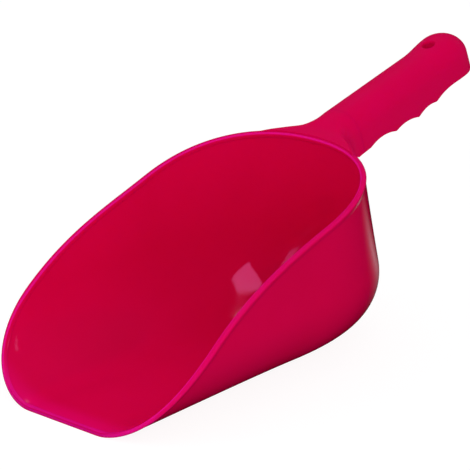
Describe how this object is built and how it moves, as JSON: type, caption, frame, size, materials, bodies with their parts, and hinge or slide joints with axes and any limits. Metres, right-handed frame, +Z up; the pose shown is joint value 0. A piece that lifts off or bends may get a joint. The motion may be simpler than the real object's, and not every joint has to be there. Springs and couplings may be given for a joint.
{
  "type": "grain scoop shovel",
  "caption": "Open-fronted plastic hand scoop with a deep bowl, a sloping rim, a flat resting strip and a hollow tilted grip with finger grooves and a hanging hole.",
  "frame": {"origin": "middle of the flat strip under the bowl that the scoop rests on", "axes": "+Z up, mouth towards -Y, grip towards +Y, mirror symmetric about X = 0"},
  "size_m": [0.1718, 0.3957, 0.1761],
  "materials": {
    "pink_plastic": "gloss"
  },
  "bodies": {
    "root": {"bowl_shell": "pink_plastic", "rim_bead": "pink_plastic", "lip_edge": "pink_plastic", "neck_shoulder": "pink_plastic", "handle_grip": "pink_plastic", "hanging_eyelet": "pink_plastic", "handle_ribs": "pink_plastic"}
  },
  "joints": []
}
